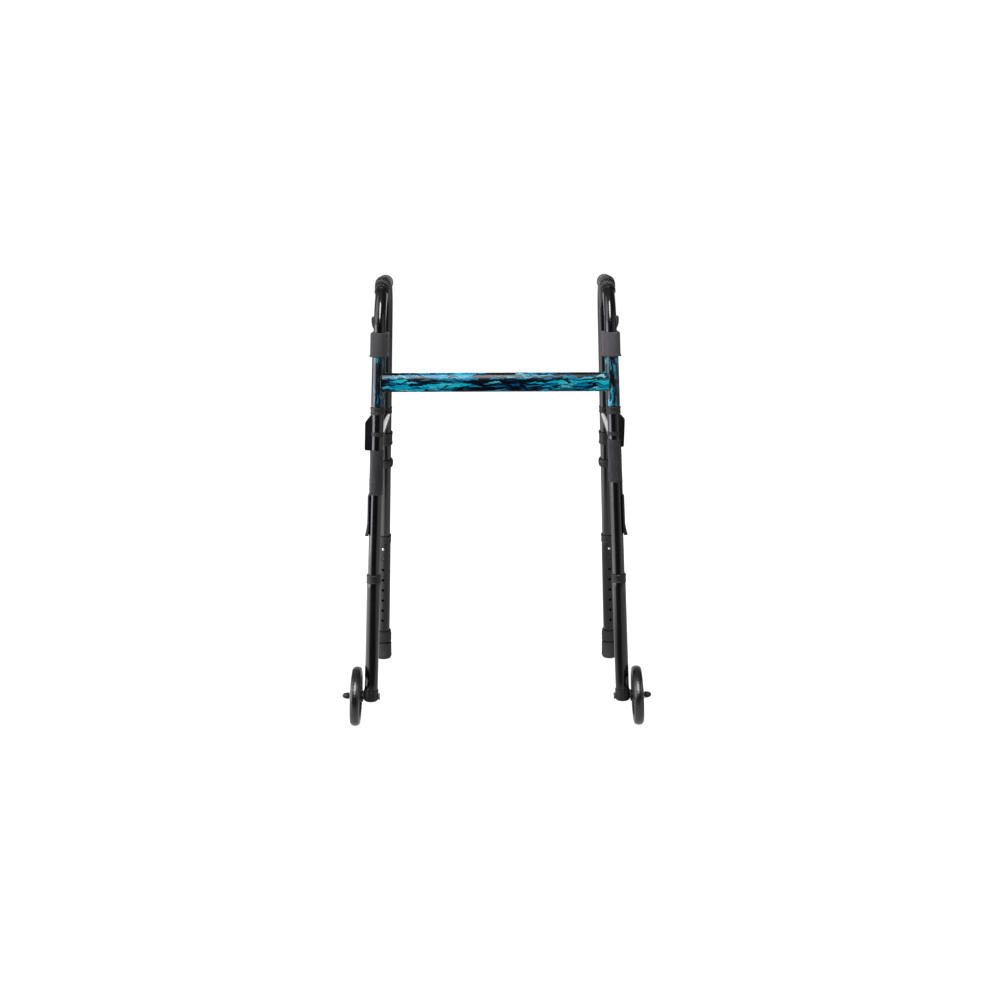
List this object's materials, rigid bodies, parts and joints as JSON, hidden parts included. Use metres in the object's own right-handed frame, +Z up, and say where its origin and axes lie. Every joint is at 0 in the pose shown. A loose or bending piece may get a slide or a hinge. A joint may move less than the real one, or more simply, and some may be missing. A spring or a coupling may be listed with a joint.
{
  "type": "folding walker",
  "caption": "Folding walking frame with two bent side frames that fold against a front crossbar, height-adjustable legs, front wheels and rear glides.",
  "frame": {"origin": "on the floor, in the middle of the outline, below the space where the user stands", "axes": "+Z up, the front of the walker faces -Y, +X is the left of a user who stands behind it facing forward"},
  "size_m": [0.6588, 0.5507, 0.9525],
  "materials": {
    "black_tube": "gloss black powder coat on 25.4 mm aluminium tube",
    "printed_tube": "black tube with a glossy blue and cyan streak print",
    "black_plastic": "satin moulded black",
    "matte_plastic": "matt dark grey, fine texture",
    "grip": "soft moulded grip, matt",
    "fabric": "dark grey woven wrap",
    "steel": "bright plated",
    "wheel_plastic": "satin moulded dark grey",
    "tyre": "matt rubber tread",
    "rubber": "matt black rubber"
  },
  "bodies": {
    "front_frame": {"crossbar": "printed_tube", "fold_sleeve_left": "printed_tube", "fold_sleeve_right": "printed_tube", "fold_bushing_left": "black_plastic", "fold_bushing_right": "black_plastic", "lock_housing_left": "matte_plastic", "lock_housing_right": "matte_plastic"},
    "side_frame_left": {"side_tube_left": "black_tube", "hand_grip_left": "grip", "side_brace_left": "black_tube", "brace_band_front_left": "black_plastic", "brace_band_rear_left": "black_plastic", "rear_collar_upper_left": "matte_plastic", "rear_collar_lower_left": "matte_plastic", "side_bracket_left": "matte_plastic", "leg_wrap_left": "fabric", "strap_tail_left": "fabric"},
    "front_lower_leg_left": {"front_leg_tube_left": "black_tube", "front_leg_collar_left": "black_plastic", "front_leg_cap_left": "black_plastic", "wheel_axle_left": "steel", "axle_spacer_left": "black_plastic", "axle_nut_left": "black_plastic"},
    "rear_lower_leg_left": {"rear_leg_tube_left": "black_tube", "rear_leg_collar_left": "black_plastic", "rear_tip_left": "rubber", "rear_glide_left": "rubber"},
    "wheel_left": {"wheel_hub_left": "wheel_plastic", "wheel_tyre_left": "tyre"},
    "snap_front_left": {"snap_button_front_left": "steel"},
    "snap_rear_left": {"snap_button_rear_left": "steel"},
    "release_left": {"release_button_left": "matte_plastic"},
    "side_frame_right": {"side_tube_right": "black_tube", "hand_grip_right": "grip", "side_brace_right": "black_tube", "brace_band_front_right": "black_plastic", "brace_band_rear_right": "black_plastic", "rear_collar_upper_right": "matte_plastic", "rear_collar_lower_right": "matte_plastic", "side_bracket_right": "matte_plastic", "leg_wrap_right": "fabric", "strap_tail_right": "fabric"},
    "front_lower_leg_right": {"front_leg_tube_right": "black_tube", "front_leg_collar_right": "black_plastic", "front_leg_cap_right": "black_plastic", "wheel_axle_right": "steel", "axle_spacer_right": "black_plastic", "axle_nut_right": "black_plastic"},
    "rear_lower_leg_right": {"rear_leg_tube_right": "black_tube", "rear_leg_collar_right": "black_plastic", "rear_tip_right": "rubber", "rear_glide_right": "rubber"},
    "wheel_right": {"wheel_hub_right": "wheel_plastic", "wheel_tyre_right": "tyre"},
    "snap_front_right": {"snap_button_front_right": "steel"},
    "snap_rear_right": {"snap_button_rear_right": "steel"},
    "release_right": {"release_button_right": "matte_plastic"}
  },
  "joints": [
    {"name": "fold_left", "type": "hinge", "parent": "front_frame", "child": "side_frame_left", "pos_m": [0.2705, -0.213, 0], "axis": [-0.0365, 0, 0.9993], "range_deg": [0, 86]},
    {"name": "front_leg_height_left", "type": "slide", "parent": "side_frame_left", "child": "front_lower_leg_left", "axis": [-0.0365, 0, 0.9993], "range_m": [0, 0.1662]},
    {"name": "rear_leg_height_left", "type": "slide", "parent": "side_frame_left", "child": "rear_lower_leg_left", "axis": [-0.0402, -0.2397, 0.97], "range_m": [0, 0.1662]},
    {"name": "wheel_roll_left", "type": "hinge", "parent": "front_lower_leg_left", "child": "wheel_left", "pos_m": [0.26828, -0.213, 0.06087], "axis": [0.9991, -0.0201, 0.0365], "continuous": true},
    {"name": "snap_front_press_left", "type": "slide", "parent": "side_frame_left", "child": "snap_front_left", "axis": [-0.0201, -0.9998, -0.0007], "range_m": [0, 0.0042], "stiffness_N_per_m": 1500, "springref_m": -0.002},
    {"name": "snap_rear_press_left", "type": "slide", "parent": "side_frame_left", "child": "snap_rear_left", "axis": [-0.1972, 0.9536, 0.2275], "range_m": [0, 0.0042], "stiffness_N_per_m": 1500, "springref_m": -0.002},
    {"name": "release_press_left", "type": "slide", "parent": "side_frame_left", "child": "release_left", "axis": [-0.9991, 0.0201, -0.0365], "range_m": [0, 0.0035], "stiffness_N_per_m": 1500, "springref_m": -0.002},
    {"name": "fold_right", "type": "hinge", "parent": "front_frame", "child": "side_frame_right", "pos_m": [-0.2705, -0.213, 0], "axis": [0.0365, 0, 0.9993], "range_deg": [-72, 0]},
    {"name": "front_leg_height_right", "type": "slide", "parent": "side_frame_right", "child": "front_lower_leg_right", "axis": [0.0365, 0, 0.9993], "range_m": [0, 0.1662]},
    {"name": "rear_leg_height_right", "type": "slide", "parent": "side_frame_right", "child": "rear_lower_leg_right", "axis": [0.0402, -0.2397, 0.97], "range_m": [0, 0.1662]},
    {"name": "wheel_roll_right", "type": "hinge", "parent": "front_lower_leg_right", "child": "wheel_right", "pos_m": [-0.26828, -0.213, 0.06087], "axis": [-0.9991, -0.0201, 0.0365], "continuous": true},
    {"name": "snap_front_press_right", "type": "slide", "parent": "side_frame_right", "child": "snap_front_right", "axis": [0.0201, -0.9998, -0.0007], "range_m": [0, 0.0042], "stiffness_N_per_m": 1500, "springref_m": -0.002},
    {"name": "snap_rear_press_right", "type": "slide", "parent": "side_frame_right", "child": "snap_rear_right", "axis": [0.1972, 0.9536, 0.2275], "range_m": [0, 0.0042], "stiffness_N_per_m": 1500, "springref_m": -0.002},
    {"name": "release_press_right", "type": "slide", "parent": "side_frame_right", "child": "release_right", "axis": [0.9991, 0.0201, -0.0365], "range_m": [0, 0.0035], "stiffness_N_per_m": 1500, "springref_m": -0.002}
  ]
}
